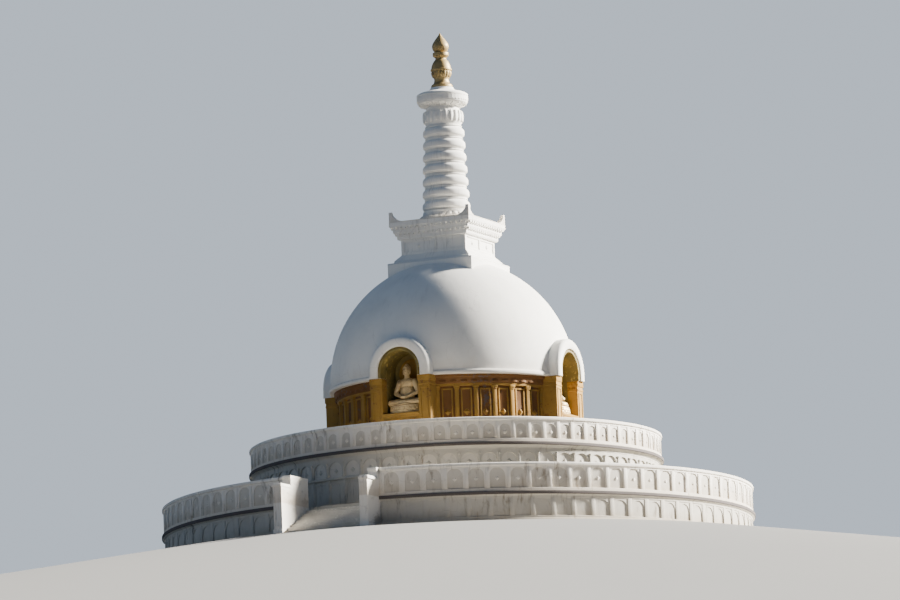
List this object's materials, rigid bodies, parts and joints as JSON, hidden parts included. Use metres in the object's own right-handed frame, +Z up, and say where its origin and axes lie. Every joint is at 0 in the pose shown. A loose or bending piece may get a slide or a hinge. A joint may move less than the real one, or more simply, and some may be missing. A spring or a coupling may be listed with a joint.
{
  "type": "stupa",
  "caption": "White domed stupa on two round walled terraces, with a gilded drum, arched niches holding seated figures, a square harmika and a ringed spire.",
  "frame": {"origin": "on the stupa's axis at ground level, at the middle of the lower terrace's underside", "axes": "+Z up along the stupa's axis, -Y towards the stair, +X to the right of someone facing the stair"},
  "size_m": [24.68, 25.565, 22.28],
  "materials": {
    "whitewash": "matt white limewash on rendered masonry",
    "cream_render": "matt cream painted render",
    "gold_paint": "satin gold paint on rendered masonry",
    "gilding": "satin gilding",
    "step_stone": "worn pale stone"
  },
  "bodies": {
    "root": {"lower_terrace": "whitewash", "lower_parapet_front_right": "cream_render", "lower_parapet_back_right": "cream_render", "lower_parapet_back_left": "cream_render", "lower_parapet_front_left": "cream_render", "stair_flight": "step_stone", "stair_wall_right": "cream_render", "stair_wall_left": "cream_render", "upper_drum": "whitewash", "upper_parapet_front_right": "cream_render", "upper_parapet_back_right": "cream_render", "upper_parapet_back_left": "cream_render", "upper_parapet_front_left": "cream_render", "dome_drum": "gold_paint", "dome": "whitewash", "niche_hood_front": "whitewash", "niche_surround_front": "gold_paint", "seated_figure_front": "gilding", "niche_hood_right": "whitewash", "niche_surround_right": "gold_paint", "seated_figure_right": "gilding", "niche_hood_back": "whitewash", "niche_surround_back": "gold_paint", "seated_figure_back": "gilding", "niche_hood_left": "whitewash", "niche_surround_left": "gold_paint", "seated_figure_left": "gilding", "harmika_plinth": "whitewash", "harmika_neck": "whitewash", "harmika_cornice": "whitewash", "spire_base": "whitewash", "spire_ring_1": "whitewash", "spire_ring_2": "whitewash", "spire_ring_3": "whitewash", "spire_ring_4": "whitewash", "spire_ring_5": "whitewash", "spire_ring_6": "whitewash", "spire_ring_7": "whitewash", "parasol": "whitewash", "finial_vase": "gilding", "finial_jewel": "gilding"}
  },
  "joints": []
}
